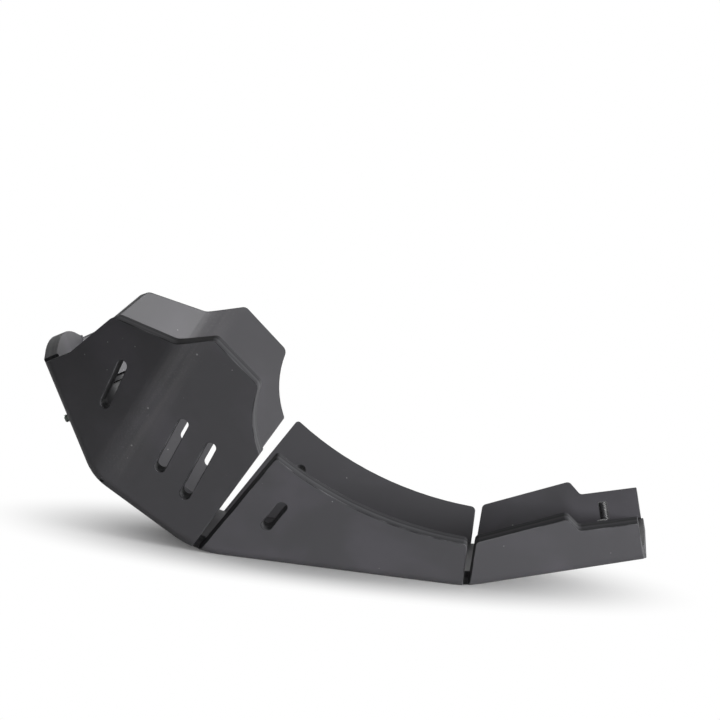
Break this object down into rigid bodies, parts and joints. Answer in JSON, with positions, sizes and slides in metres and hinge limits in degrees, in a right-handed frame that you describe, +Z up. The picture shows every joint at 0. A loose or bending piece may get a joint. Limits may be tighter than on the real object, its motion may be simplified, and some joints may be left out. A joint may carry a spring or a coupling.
{
  "type": "motorcycle skid plate",
  "caption": "Thick folded plastic sheet that guards a motorcycle's engine and lower frame, with slotted side wings, a steel strap for the frame tubes and sunk rear bolts.",
  "frame": {"origin": "underside of the flat bottom panel, in its middle, on the plate's centre plane", "axes": "+X to the rear of the motorcycle, +Z up, the side seen in the picture is -Y"},
  "size_m": [0.3618, 0.2706, 0.132],
  "materials": {
    "black_sheet": "satin, fine grain",
    "black_steel": "black, satin",
    "zinc_steel": "dull zinc plate"
  },
  "bodies": {
    "root": {"skid_plate": "black_sheet", "front_clamp_strap": "black_steel", "front_bolts": "zinc_steel", "front_washers": "zinc_steel", "front_nuts": "zinc_steel", "rear_bushes": "zinc_steel", "rear_bolts": "black_steel"}
  },
  "joints": []
}
